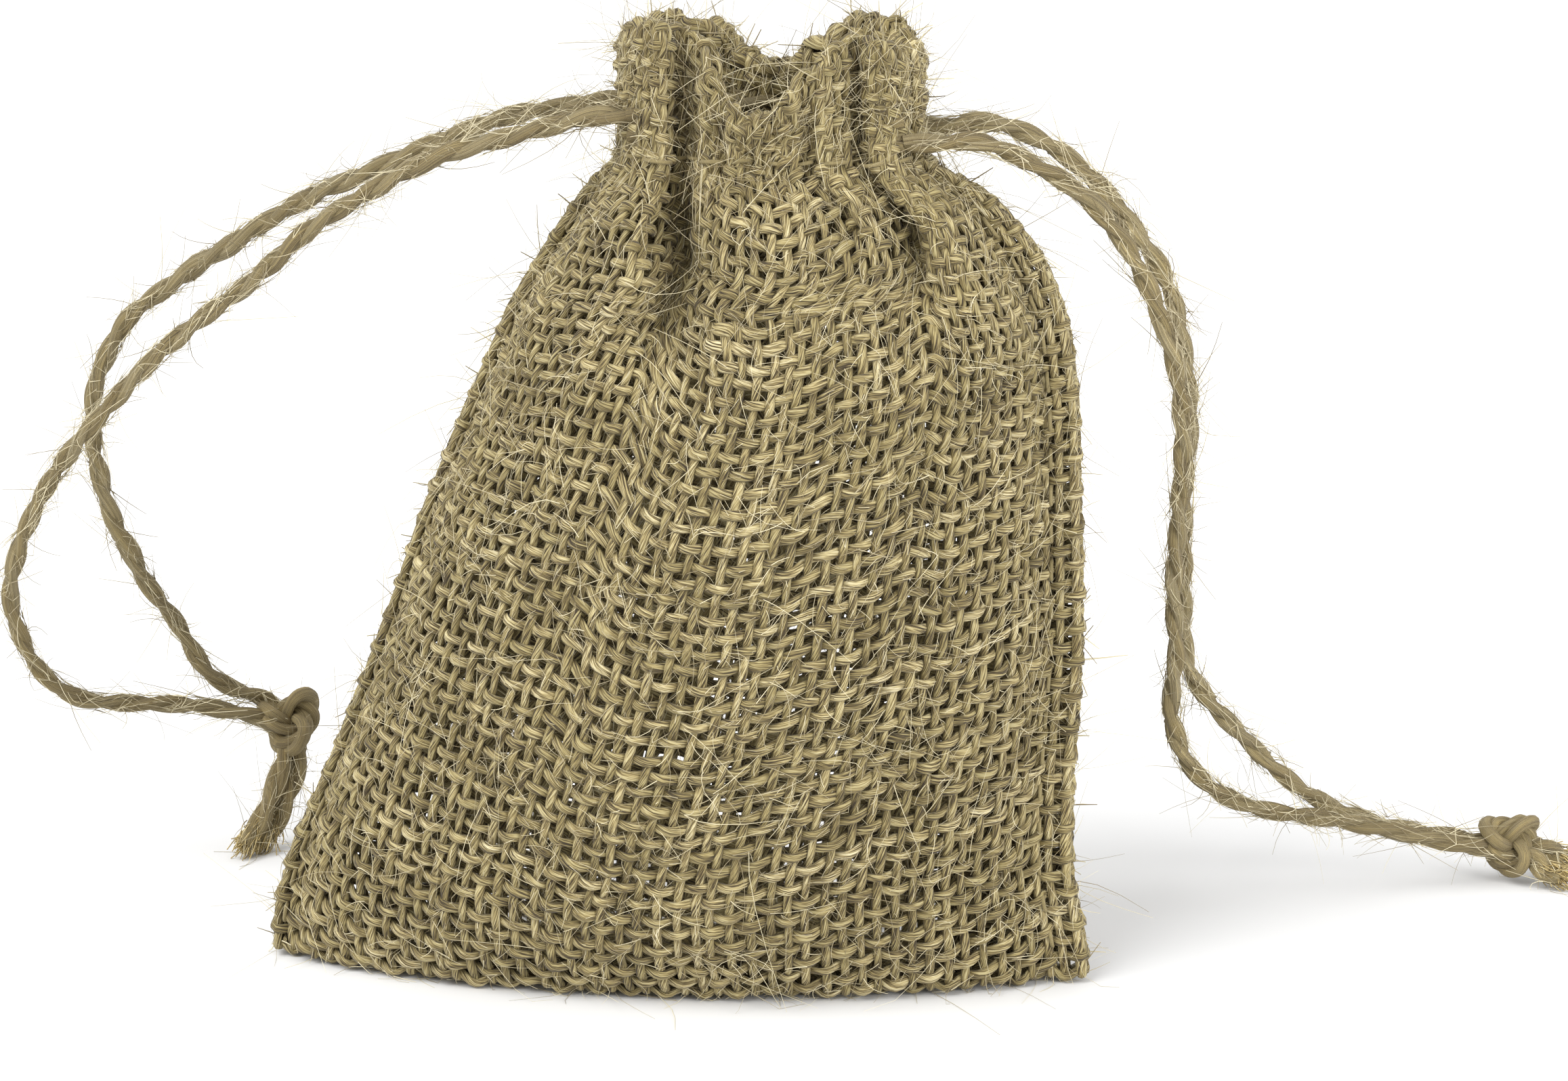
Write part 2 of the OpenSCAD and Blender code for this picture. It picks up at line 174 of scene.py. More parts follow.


# %% [markdown]
# ## Jute
#
# Jute is a long stiff plant fibre. Its yarn is a loose twisted bundle, so close up it shows fine
# streaks that climb round the yarn, pale where a fibre catches the light and brown in between.
# These streaks are bumps, and they are painted into the colour too: a painted highlight along each
# fibre and painted shade in the grooves between fibres.
# Every yarn has its own shade. The streaks are noise that is stretched along the yarn and wound
# round it by the twist, and they come from the yarn's own UV map: U runs round it and V along it.
# Each yarn is a loose island of its mesh, so Random Per Island gives it its own shade.

# %% Jute material
def jute(name, tones, yarn_length, yarn_width, twist_lay, streak=0.14, bump=0.16):
    """Twisted jute. Lengths are in millimetres; twist_lay is the length of one turn of twist."""
    material, tree, output = new_material(name)
    uv = add(tree, "SeparateXYZ", {0: add(tree, "TexCoord").outputs["UV"]})
    island = add(tree, "NewGeometry").outputs["Random Per Island"]
    turned = add(tree, "Math", {0: uv.outputs["Y"], 1: yarn_length / twist_lay, 2: uv.outputs["X"]},
                 operation="MULTIPLY_ADD")
    angle = add(tree, "Math", {0: turned.outputs[0], 1: 2 * math.pi}, operation="MULTIPLY")
    cells = yarn_width / 2 / streak
    round_yarn = []
    for wave in ("COSINE", "SINE"):
        swing = add(tree, "Math", {0: angle.outputs[0]}, operation=wave)
        wide = add(tree, "Math", {0: swing.outputs[0], 1: cells}, operation="MULTIPLY")
        round_yarn.append(wide.outputs[0])
    own_start = add(tree, "Math", {0: island, 1: 97.0}, operation="MULTIPLY")
    along = add(tree, "Math", {0: uv.outputs["Y"], 1: yarn_length / 2.2, 2: own_start.outputs[0]},
                operation="MULTIPLY_ADD")
    place = add(tree, "CombineXYZ", {"X": round_yarn[0], "Y": round_yarn[1], "Z": along.outputs[0]})
    fibres = add(tree, "TexNoise", {"Vector": place.outputs[0], "Scale": 1.0, "Detail": 2.0,
                                    "Roughness": 0.7})
    patches = add(tree, "TexNoise", {"Vector": add(tree, "TexCoord").outputs["Object"],
                                     "Scale": 160.0, "Detail": 2.0})
    own_shade = add(tree, "Math", {0: island, 1: 0.28, 2: 0.11}, operation="MULTIPLY_ADD")
    shade = add(tree, "Math", {0: patches.outputs["Fac"], 1: 0.5, 2: own_shade.outputs[0]},
                operation="MULTIPLY_ADD")
    tone = add(tree, "ValToRGB", {"Fac": shade.outputs[0]})
    dark, middle, pale, bleached = tones
    ramp = tone.color_ramp.elements
    ramp[0].position, ramp[0].color = 0.25, linear(dark)
    ramp[1].position, ramp[1].color = 0.80, linear(bleached)
    ramp.new(0.45).color = linear(middle)
    ramp.new(0.62).color = linear(pale)
    # Painted light: the fibre noise brightens the colour to a painted highlight along each fibre and darkens it
    # to painted shade in the grooves between fibres.
    painted_fibre_light = add(tree, "ValToRGB", {"Fac": fibres.outputs["Fac"]})
    painted_fibre_light_steps = painted_fibre_light.color_ramp.elements
    painted_fibre_light_steps[0].position, painted_fibre_light_steps[0].color = 0.37, linear("46391b")
    painted_fibre_light_steps[1].position, painted_fibre_light_steps[1].color = 0.63, linear("ffffff")
    painted_fibre_light_steps.new(0.47).color = linear("9f9476")
    painted_fibre_light_steps.new(0.56).color = linear("e6dfcb")
    colour = add(tree, "VectorMath", {0: tone.outputs["Color"], 1: painted_fibre_light.outputs["Color"]},
                 operation="MULTIPLY")
    relief = add(tree, "Bump", {"Height": fibres.outputs["Fac"], "Distance": bump * MM,
                                "Strength": 1.0})
    dull = add(tree, "MapRange", {"Value": fibres.outputs["Fac"], "To Min": 0.90, "To Max": 0.45})
    shader = add(tree, "BsdfPrincipled", {
        "Base Color": colour.outputs[0], "Roughness": dull.outputs["Result"],
        "Normal": relief.outputs[0], "Sheen Weight": 0.1, "Specular IOR Level": 0.5})
    tree.links.new(shader.outputs[0], output.inputs["Surface"])
    return material


CLOTH_TONES = ("8c8054", "a89c70", "c0b48a", "dbd2b1")
STRING_TONES = ("c9b67f", "dac790", "e8d7a4", "f3e6c0")


# %% [markdown]
# ## The cloth's surface
#
# Before any yarn is laid, the cloth needs a smooth middle surface that says where it hangs. The
# flat cloth is measured from the left seam to the right one and from the bottom fold up to the
# top edge. At each height the belly's outline is a pinched lens with a flat sewn edge at both
# sides. Where the neck is gathered there is more cloth than outline, and the rest goes into
# valleys that run down from the neck and die out on the belly.

# %% Outline of the pouch
seam_low = node_box("left_side_seam")[0]
panel_low = node_box("front_panel")[0]
casing_low, casing_high = node_box("front_casing")
SKIN, NECK_SKIN = 0.3, 0.8
half_base = -seam_low[0] - SKIN
half_belly = -panel_low[1] - SKIN
casing_z, casing_top = casing_low[2], casing_high[2]
neck_left, neck_right = casing_low[0] + NECK_SKIN, casing_high[0] - NECK_SKIN
neck_depth = -casing_low[1]
frill_high = node_box("back_frill")[1][2]
LEFT_SEAM_W, SEAM_W = 1.6, 3.5
FLOOR_CLEAR = 1.02

# Height, left edge and right edge as shares of half the base, and half depth as a share of half
# the belly.
OUTLINE = np.array([
    (0, -1, 1, 0.50), (2, -1, 0.997, 0.60), (5, -1, 0.99, 0.70), (12, -0.955, 0.955, 0.85),
    (22, -0.85, 0.955, 0.95), (37, -0.715, 0.975, 1), (51, -0.60, 0.965, 1),
    (62, -0.49, 0.955, 0.93), (71, -0.40, 0.93, 0.83), (78, -0.305, 0.865, 0.70),
    (84, -0.215, 0.75, 0.56),
    (casing_z, neck_left / half_base, neck_right / half_base, neck_depth / half_belly),
    (casing_top, neck_left / half_base, neck_right / half_base, 0.92 * neck_depth / half_belly),
    (frill_high + 1, neck_left / half_base, neck_right / half_base, neck_depth / half_belly)])


def unit(vectors):
    """The same directions at length one."""
    return vectors / np.maximum(np.linalg.norm(vectors, axis=-1, keepdims=True), 1e-9)


def smooth_step(t):
    t = np.clip(t, 0, 1)
    return t * t * (3 - 2 * t)


def outline_at(z):
    """Left edge, right edge and half depth at a height, on curves without corners."""
    heights = OUTLINE[:, 0]
    near = np.linspace(-3.0, 3.0, 9)
    weight = np.exp(-(near / 2.0) ** 2)
    found = [np.sum([w * np.interp(z + n, heights, OUTLINE[:, k]) for n, w in zip(near, weight)], 0)
             / weight.sum() for k in (1, 2, 3)]
    return found[0] * half_base, found[1] * half_base, found[2] * half_belly


# %% Gathering folds
FLAT_W = 90.0
# Where each valley's middle lies across the flat cloth at the neck, how far it drifts across for
# each millimetre down, its greatest depth (below zero for a swelling), half its width, and the
# height at which it has died out, all in millimetres.
FRONT_FOLDS = [(8, 0.0, 2.4, 3.8, 76), (18, 0.25, -2.6, 7.5, 60), (27.5, 0.34, 8.6, 7.8, 60),
               (44, 0.05, -1.6, 9.0, 62), (55, 0.0, 1.2, 3.6, 80), (66, -0.10, 6.4, 6.4, 67),
               (76, 0.05, -2.0, 7.0, 62), (83, 0.0, 2.2, 3.6, 76)]
BACK_FOLDS = [(10, 0.0, 3.0, 4.4, 70), (25, 0.1, 4.6, 5.6, 66), (40, 0.2, 5.0, 6.2, 62),
              (56, -0.1, 4.4, 5.6, 64), (70, -0.2, 5.0, 6.0, 62), (81, 0.0, 2.4, 4.0, 72)]
# Height of the top edge, from left to right across the neck.
FRONT_RIM = [(-6, 100.2), (-3.5, 102.4), (0, 102.6), (3, 100.4), (5.5, 96), (8, 93.4), (10.5, 93.4),
             (13, 95.8), (15.5, 98.8), (19, 101), (22.5, 100.8), (26, 98.6)]
BACK_RIM = [(-6, 100.2), (-3.5, 101.3), (0, 101.5), (4, 100.2), (7.5, 97.6), (10, 96), (13, 97.6),
            (16, 100.4), (20, 101.8), (23.5, 101), (26, 98.6)]
HEM_DEPTH = 1.9
HEM_LOW = casing_z + 0.4
LEVEL_STEP = 0.7
SIDE_STEPS = 361


def crown(u, z):
    """The lens that the belly makes, from -1 at its left end to 1 at its right one."""
    neck = np.clip((z - 60) / (casing_z - 60), 0, 1)
    round_left = np.where(u < 0, 0.22 * smooth_step((z - 4) / 20), 0)
    power = 0.8 - 0.35 * neck - round_left * (1 - neck)
    return (1 - np.minimum(np.abs(u), 1) ** (2 + 2 * neck)) ** power


def plan_curve(z, folds):
    """The cloth's line in plan at one height: x and y at even steps of flat cloth."""
    left, right, depth = outline_at(z)
    gap = 0.9 + 1.3 * smooth_step((z - 86) / 4)
    u = -np.cos(np.linspace(0, math.pi, 241))
    flat = 1 - 0.7 * smooth_step((z - 82) / 6)
    left_seam, seam = LEFT_SEAM_W * flat, SEAM_W * flat
    edge = np.linspace(0, 1, 12)[:-1]
    edge_y = -gap * np.sqrt(1 - (1 - np.minimum(edge * 3, 1)) ** 2)
    lens_x = left + left_seam + (right - left - left_seam - seam) * (u + 1) / 2
    lens_y = -gap - (depth - gap) * crown(u, z)
    x = np.concatenate([left + left_seam * edge, lens_x, (right - seam * edge)[::-1]])
    y = np.concatenate([edge_y, lens_y, edge_y[::-1]])
    length = np.concatenate([[0], np.cumsum(np.hypot(np.diff(x), np.diff(y)))])
    cloth = np.linspace(0, FLAT_W, SIDE_STEPS)
    seen, sunk = np.ones_like(cloth), np.zeros_like(cloth)
    for middle, slant, deep, half, low in folds:
        rise = smooth_step((z - low) / (casing_z - 6 - low))
        at_neck = 0.46 if deep > 0 else 0.9
        d = deep * rise ** 1.3 * (1 - at_neck * smooth_step((z - 82) / 6))
        t = (cloth - middle - slant * max(0, casing_z - z)) / half
        hidden = 1 - math.sqrt(max(0.32, 1 - 1.23 * (max(d, 0) / half) ** 2))
        seen -= hidden / (1 + np.abs(t) ** 6)
        sunk += d * (1 + np.cos(math.pi * np.clip(t, -1, 1))) / 2
    walked = np.concatenate([[0], np.cumsum((seen[1:] + seen[:-1]) / 2)])
    walked *= length[-1] / walked[-1]
    ripple = smooth_step((z - 56) / 34)
    small = 0.40 * np.sin(cloth * 1.05 + 0.6) + 0.35 * np.sin(cloth * 0.61 + 2 + z * 0.03)
    px = np.interp(walked, length, x)
    py = np.interp(walked, length, y) + sunk + ripple * small
    edge_room = np.minimum(1, np.minimum(cloth, FLAT_W - cloth) / 1.2)
    return px, np.minimum(py, -gap * np.sqrt(edge_room * (2 - edge_room)))


# %% One side of the cloth
def drift(shape, seed, waves, size):
    """Smooth random unevenness over a grid, about size high, with so many waves along each axis."""
    knots = np.random.default_rng(seed).normal(0, size, (waves[0] + 3, waves[1] + 3))
    rows, cols = np.linspace(0, waves[0], shape[0]), np.linspace(0, waves[1], shape[1])
    r, c = np.floor(rows).astype(int), np.floor(cols).astype(int)
    fr, fc = smooth_step(rows - r)[:, None], smooth_step(cols - c)
    low = knots[r][:, c] * (1 - fc) + knots[r][:, c + 1] * fc
    high = knots[r + 1][:, c] * (1 - fc) + knots[r + 1][:, c + 1] * fc
    return low * (1 - fr) + high * fr


def soften(values, reach):
    """A running mean along the first axis."""
    kernel = np.hanning(2 * reach + 3)[1:-1]
    kernel /= kernel.sum()
    padded = np.pad(values, [(reach, reach)] + [(0, 0)] * (values.ndim - 1), "edge")
    return np.apply_along_axis(lambda line: np.convolve(line, kernel, "valid"), 0, padded)


def cloth_side(folds, rim, seed):
    """The middle surface of one side, as rows of points, and how many rows come before the top
    edge. Rows run from the bottom fold, up the wall, over the top and down inside."""
    floor_x, floor_y = plan_curve(0.0, folds)
    rows = [np.column_stack([floor_x, floor_y * share, np.full(SIDE_STEPS, FLOOR_CLEAR)])
            for share in np.linspace(0, 1, 18)[:-1]]
    low_z, full_z = 86.0, frill_high - 0.9
    for z in np.concatenate([np.arange(FLOOR_CLEAR, low_z, LEVEL_STEP),
                             np.arange(low_z, full_z + 0.01, LEVEL_STEP / 2)]):
        x, y = plan_curve(min(z, 96), folds)
        if z >= low_z:
            edge = soften(np.interp(x, *np.transpose(rim)), 6) - 0.9
            flare = 1.6 * smooth_step((z - 95.0) / 8)
            y = y - flare * np.sin(np.linspace(0, math.pi, SIDE_STEPS)) ** 0.5
            z = low_z + (z - low_z) * (edge - low_z) / (full_z - low_z)
        rows.append(np.column_stack([x, y, np.broadcast_to(z, x.shape)]))
    before_top = len(rows)
    last = rows[-1]
    along = np.gradient(soften(last[:, :2], 6), axis=0)
    inward = np.stack([-along[:, 1], along[:, 0]], 1)
    inward = soften(unit(inward), 14)
    for turn in np.linspace(0, math.pi, 9)[1:]:
        shift = inward * HEM_DEPTH / 2 * (1 - math.cos(turn))
        rows.append(np.column_stack([last[:, :2] + shift, last[:, 2] + HEM_DEPTH / 2 * math.sin(turn)]))
    inner = rows[-1]
    for share in np.linspace(0, 1, 14)[1:]:
        rows.append(np.column_stack([inner[:, :2], inner[:, 2] + share * (HEM_LOW - inner[:, 2])]))
    grid = np.array(rows)
    calm = np.minimum(1, np.minimum(np.arange(SIDE_STEPS), np.arange(SIDE_STEPS)[::-1]) / 20)
    on_wall = smooth_step((np.arange(len(grid)) - 14) / 12)
    grid[:, :, 1] += drift(grid.shape[:2], seed, (22, 26), 0.26) * calm * on_wall[:, None]
    return grid, before_top


def even_rows(grid, before_top, count, hem_count):
    """The same surface with its rows at even lengths of cloth: count of them up to the top edge,
    then hem_count for the part that is folded in."""
    steps = np.linalg.norm(np.diff(grid, axis=0), axis=2)
    walked = np.concatenate([np.zeros((1, grid.shape[1])), np.cumsum(steps, 0)])
    out = np.empty((count + hem_count, grid.shape[1], 3))
    for j in range(grid.shape[1]):
        line, top = walked[:, j], walked[before_top - 1, j]
        at = np.concatenate([np.linspace(0, top, count), np.linspace(top, line[-1], hem_count + 1)[1:]])
        for k in range(3):
            out[:, j, k] = np.interp(at, line, grid[:, j, k])
    return out


FINE_ROWS, FINE_HEM = 480, 64
surfaces = {}
for side, folds, rim, seed in (("front", FRONT_FOLDS, FRONT_RIM, 3), ("back", BACK_FOLDS, BACK_RIM, 8)):
    surface = even_rows(*cloth_side(folds, rim, seed), FINE_ROWS, FINE_HEM)
    outward = np.cross(np.gradient(surface, axis=1), np.gradient(surface, axis=0))
    if side == "back":
        surface[:, :, 1] *= -1
        outward[:, :, 1] *= -1
    surfaces[side] = np.concatenate([surface, unit(outward)], 2)
    middle = surface[:FINE_ROWS, SIDE_STEPS // 2]
    print(side, "cloth:", round(float(np.linalg.norm(np.diff(middle, axis=0), axis=1).sum()), 1),
          "mm from the bottom fold to the top edge at its middle")

# %% [markdown]
# ## Laying the yarns
#
# Plain weave means that each warp goes over one weft and under the next, and its neighbours do
# the opposite. One table of crossings serves both: warp and weft are told the same spots, and
# are pushed to opposite sides of the middle surface there. Pushing by a cosine between crossings
# gives the wave of a real yarn. Thickness wanders along each yarn, with a slub here and there.
# A curve's bevel is round, but these yarns are pressed flat against each other. So each yarn is
# a flattened ring that is swept along its path, with its own UV map and closed ends. Threads and
# fibres are thin enough for plain bevelled curves.
#
# The weave is open, and nothing is known of what stands behind the holes. The back's yarns
# are drawn wider than the front's and its inside is hairier, so that the pale floor doesn't shine
# through. That is a choice for the look and not a finding about the cloth.

# %% Yarn helpers
def link_mesh(name, mesh, *materials):
    """A smooth-shaded object for a finished mesh."""
    mesh.name = name
    mesh.polygons.foreach_set("use_smooth", [True] * len(mesh.polygons))
    for material in materials:
        mesh.materials.append(material)
    made = bpy.data.objects.new(name, mesh)
    bpy.context.scene.collection.objects.link(made)
    return made


def tubes(name, paths, radius, material, thickness=None, resolution=2):
    """One mesh with a round tube along each path, drawn as curves with a bevel."""
    curve = bpy.data.curves.new(name, "CURVE")
    curve.dimensions = "3D"
    curve.bevel_depth = radius * MM
    curve.bevel_resolution = resolution
    curve.use_fill_caps = True
    for k, path in enumerate(paths):
        spline = curve.splines.new("POLY")
        spline.points.add(len(path) - 1)
        spline.points.foreach_set("co", np.column_stack([np.asarray(path) * MM, np.ones(len(path))])
                                  .astype(np.float32).ravel())
        if thickness is not None:
            spline.points.foreach_set("radius", np.asarray(thickness[k], np.float32))
    drawn = bpy.data.objects.new(name + "_line", curve)
    bpy.context.scene.collection.objects.link(drawn)
    mesh = bpy.data.meshes.new_from_object(drawn.evaluated_get(bpy.context.evaluated_depsgraph_get()))
    bpy.data.objects.remove(drawn)
    bpy.data.curves.remove(curve)
    return link_mesh(name, mesh, material)


def flat_tubes(name, yarns, width, thick, material, around=7):
    """One mesh of yarns that are pressed a little flat against the cloth. Each yarn is its path,
    its outward directions and its thickness at each point."""
    turn = np.arange(around) * 2 * math.pi / around
    points, faces, uvs, caps = [], [], [], []
    count = 0
    for path, outward, size in yarns:
        ahead = unit(np.gradient(path, axis=0))
        up = unit(outward - np.sum(outward * ahead, 1)[:, None] * ahead)
        side = np.cross(ahead, up)
        ring = (side[:, None] * np.cos(turn)[None, :, None] * width / 2
                + up[:, None] * np.sin(turn)[None, :, None] * thick / 2) * size[:, None, None]
        points.append((path[:, None] + ring).reshape(-1, 3))
        i, k = np.meshgrid(np.arange(len(path) - 1), np.arange(around), indexing="ij")
        here, there = count + i * around, count + (i + 1) * around
        k2 = (k + 1) % around
        faces.append(np.stack([here + k, there + k, there + k2, here + k2], -1).reshape(-1, 4))
        low, high = i / (len(path) - 1), (i + 1) / (len(path) - 1)
        u, u2 = k / around, (k + 1) / around
        uvs.append(np.stack([u, low, u, high, u2, high, u2, low], -1).reshape(-1, 8))
        caps += [np.arange(count, count + around).tolist()]
        count += len(path) * around
        caps += [np.arange(count - 1, count - around - 1, -1).tolist()]
    mesh = bpy.data.meshes.new(name)
    mesh.from_pydata(np.concatenate(points) * MM, [], np.concatenate(faces).tolist() + caps)
    uv = np.concatenate([np.concatenate(uvs).ravel(), np.zeros(len(caps) * around * 2)])
    mesh.uv_layers.new(name="UVMap").data.foreach_set("uv", uv)
    return link_mesh(name, mesh, material)


def look_up(surface, rows, cols):
    """Points and outward directions at fractional rows and columns of a surface."""
    rows = np.clip(rows, 0, surface.shape[0] - 1.001)
    cols = np.clip(cols, 0, surface.shape[1] - 1.001)
    r, c = rows.astype(int), cols.astype(int)
    fr, fc = (rows - r)[..., None], (cols - c)[..., None]
    found = ((surface[r, c] * (1 - fc) + surface[r, c + 1] * fc) * (1 - fr)
             + (surface[r + 1, c] * (1 - fc) + surface[r + 1, c + 1] * fc) * fr)
    return found[..., :3], found[..., 3:]


def slubby(points, chance, thick=0.09):
    """How the thickness of a yarn wanders along it, with rare thick places."""
    value = 1 + thick * drift((points, 1), chance.integers(1 << 30), (max(4, points // 9), 1), 1)[:, 0]
    at = np.arange(points)
    for _ in range(chance.poisson(points / 160)):
        value += chance.uniform(0.12, 0.38) * np.exp(-((at - chance.uniform(0, points))
                                                       / chance.uniform(4, 9)) ** 2)
    return np.clip(value, 0.72, 1.5)


WARPS, WEFTS, HEM_WEFTS = 49, 58, 6
WARP_W, WEFT_W, YARN_T = 0.93, 1.08, 0.76
WARP_CRIMP, WEFT_CRIMP = 0.15, 0.47
PER_CROSSING = 4


def crossings(side, seed):
    """Row and column on the fine surface of each crossing of weft j and warp i, as [j, i]."""
    cols = np.concatenate([[0.9, 2.7], np.linspace(4.6, FLAT_W - 4.6, WARPS - 4),
                           [FLAT_W - 2.7, FLAT_W - 0.9]]) / FLAT_W * (SIDE_STEPS - 1)
    rows = np.concatenate([(np.arange(WEFTS) + 0.5) / WEFTS * FINE_ROWS,
                           FINE_ROWS + (np.arange(HEM_WEFTS) + 0.5) / HEM_WEFTS * (FINE_HEM - 2)])
    chance = np.random.default_rng(seed)
    step_r, step_c = FINE_ROWS / WEFTS, SIDE_STEPS / WARPS
    shape = (len(rows), len(cols))
    r = rows[:, None] + step_r * (0.07 * chance.normal(size=(len(rows), 1))
                                  + drift(shape, seed + 1, (12, 8), 0.13))
    c = cols[None, :] + step_c * (0.07 * chance.normal(size=(1, len(cols)))
                                  + drift(shape, seed + 2, (14, 14), 0.11))
    c[:, :2], c[:, -2:] = cols[:2], cols[-2:]
    return r, c


def along_yarn(values, extra_low, extra_high):
    """Values at each crossing of one yarn, filled in between, with an end beyond each."""
    whole = np.concatenate([[extra_low], values, [extra_high]])
    at = np.concatenate([[-0.5], np.arange(len(values)), [len(values) - 0.5]])
    steps = np.arange(-0.5, len(values) - 0.49, 1 / PER_CROSSING)
    return steps, np.interp(steps, at, whole)


def weave(side, seed):
    """The paths and thicknesses of the warps and wefts on one side."""
    surface = surfaces[side]
    r, c = crossings(side, seed)
    chance = np.random.default_rng(seed + 5)
    warps, wefts = [], []
    for i in range(WARPS):
        at, rows = along_yarn(r[:, i], 0, surface.shape[0] - 1)
        cols = along_yarn(c[:, i], c[0, i], c[-1, i])[1]
        point, outward = look_up(surface, rows, cols)
        push = WARP_CRIMP * np.cos(math.pi * (at + i))
        warps.append((point + outward * push[:, None], outward, slubby(len(at), chance)))
    for j in range(len(r)):
        at, cols = along_yarn(c[j], 0, surface.shape[1] - 1)
        rows = along_yarn(r[j], r[j, 0], r[j, -1])[1]
        point, outward = look_up(surface, rows, cols)
        push = -WEFT_CRIMP * np.cos(math.pi * (at + j))
        wefts.append((point + outward * push[:, None], outward, slubby(len(at), chance)))
    return warps, wefts


# %% Weave both sides
warp_jute = jute("warp_jute_yarn", CLOTH_TONES, 132, WARP_W, 9)
weft_jute = jute("weft_jute_yarn", CLOTH_TONES, 92, WEFT_W, 10)
BACK_YARN_SHARE = 1.6
laid, cloth_pieces = {}, []
for side, seed in (("front", 11), ("back", 41)):
    warps, wefts = weave(side, seed)
    laid[side] = (warps, wefts)
    full = 1.0 if side == "front" else BACK_YARN_SHARE
    warp = flat_tubes(side + "_warp", warps, full * WARP_W, YARN_T, warp_jute)
    weft = flat_tubes(side + "_weft", wefts, full * WEFT_W, YARN_T, weft_jute)
    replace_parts(warp, side + "_panel", side + "_frill")
    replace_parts(weft, side + "_casing")
    cloth_pieces += [(warp, side), (weft, side)]
    print(side, "side:", len(warps), "warps and", len(wefts), "wefts,",
          sum(len(p.data.polygons) for p in (warp, weft)), "faces")
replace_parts(cloth_pieces[1][0], "left_side_seam", "right_side_seam")

# %% [markdown]
# ## Stitches
#
# Thin jute-coloured thread holds the side seams and the casings. A running stitch is one long
# curve that goes through the cloth and back: for a little over two millimetres it lies on the
# outside, and then it dips through to the inside.

# %% Stitches
thread_material = jute("sewing_thread", CLOTH_TONES, 90, 0.5, 2.5, 0.08, 0.03)
STITCH_PITCH, STITCH_LENGTH, THREAD_R = 4.0, 2.2, 0.22


def stitch_side(lengths):
    """1 where a running stitch lies outside, -1 where it lies inside, smooth between."""
    share = np.mod(lengths, STITCH_PITCH) / STITCH_PITCH
    middle = STITCH_LENGTH / STITCH_PITCH / 2
    return np.clip((middle - np.abs(share - middle)) * 14, -1, 1)


def row_at_height(surface, col, height):
    """The row, on the way up the wall, where a column of the surface reaches a height."""
    return np.interp(height, surface[:FINE_ROWS, col, 2], np.arange(FINE_ROWS))


for side in ("front", "back"):
    surface = surfaces[side]
    cols = np.arange(8, SIDE_STEPS - 8)
    rows = np.array([row_at_height(surface, c, casing_z + 0.7) for c in cols])
    point, outward = look_up(surface, rows, cols.astype(float))
    walked = np.concatenate([[0], np.cumsum(np.linalg.norm(np.diff(point, axis=0), axis=1))])
    lies = stitch_side(walked)
    path = point + outward * np.where(lies > 0, lies * 0.98, lies * 1.5)[:, None]
    stitches = tubes(side + "_casing_thread", [path[::2]], THREAD_R, thread_material)
    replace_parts(stitches, side + "_casing_stitches")
    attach(stitches, "pouch")
for side, col in (("left", 6.8), ("right", SIDE_STEPS - 15.4)):
    heights = np.arange(2.0, 87.0, 0.25)
    front = surfaces["front"]
    up_wall = look_up(front, np.arange(FINE_ROWS) * 1.0, np.full(FINE_ROWS, col))[0]
    rows = np.interp(heights, up_wall[:, 2], np.arange(FINE_ROWS))
    on_front, outward = look_up(front, rows, np.full(len(rows), col))
    on_back = look_up(surfaces["back"], rows, np.full(len(rows), col))[0]
    lies = stitch_side(heights)[:, None]
    path = (on_front * (1 + lies) + on_back * (1 - lies)) / 2
    path += lies * np.array([0, -0.95, 0])
    path[:, 2] = heights
    stitches = tubes(side + "_seam_thread", [path], THREAD_R, thread_material)
    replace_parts(stitches, side + "_seam_stitches")
    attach(stitches, "pouch")

# %% [markdown]
# ## Strings
#
# Each string is one length of two-ply jute. It runs through both casings, comes out at one side
# of the neck as two legs, and the legs are knotted together near their ends. A ply is a tube
# that winds round the string's line, half a turn away from the other. The line is carried along
# with a frame that never twists by itself, so that the only twist is the one we ask for.

# %% String helpers
fray_material = jute("frayed_jute", STRING_TONES, 6, 0.2, 3, 0.2, 0.02)
string_material = jute("jute_string", STRING_TONES, 130, 1.3, 7, 0.19, 0.24)
STRING_D, PLY_R, PLY_OFFSET, TWIST_LAY = 2.0, 0.66, 0.38, 10.5


def even_line(points, step=0.45):
    """A smooth line through the points, with its points at even steps."""
    p = np.array(points, float)
    p = np.vstack([2 * p[0] - p[1], p, 2 * p[-1] - p[-2]])
    t = np.linspace(0, 1, 12, endpoint=False)[:, None]
    parts = []
    for a, b, c, d in zip(p[:-3], p[1:-2], p[2:-1], p[3:]):
        parts.append(0.5 * (2 * b + (c - a) * t + (2 * a - 5 * b + 4 * c - d) * t ** 2
                            + (3 * b - a - 3 * c + d) * t ** 3))
    dense = np.vstack(parts + [p[-2:-1]])
    walked = np.concatenate([[0], np.cumsum(np.linalg.norm(np.diff(dense, axis=0), axis=1))])
    at = np.linspace(0, walked[-1], max(8, int(walked[-1] / step)))
    return np.column_stack([np.interp(at, walked, dense[:, k]) for k in range(3)])


def frames_along(line):
    """Two directions across the line at each point, carried along without twist."""
    ahead = np.gradient(line, axis=0)
    ahead /= np.linalg.norm(ahead, axis=1)[:, None]
    up = np.cross(ahead[0], (0.3, 0.5, 0.8))
    ups = []
    for a in ahead:
        up = up - np.dot(up, a) * a
        up = up / np.linalg.norm(up)
        ups.append(up)
    ups = np.array(ups)
    return ups, np.cross(ahead, ups)


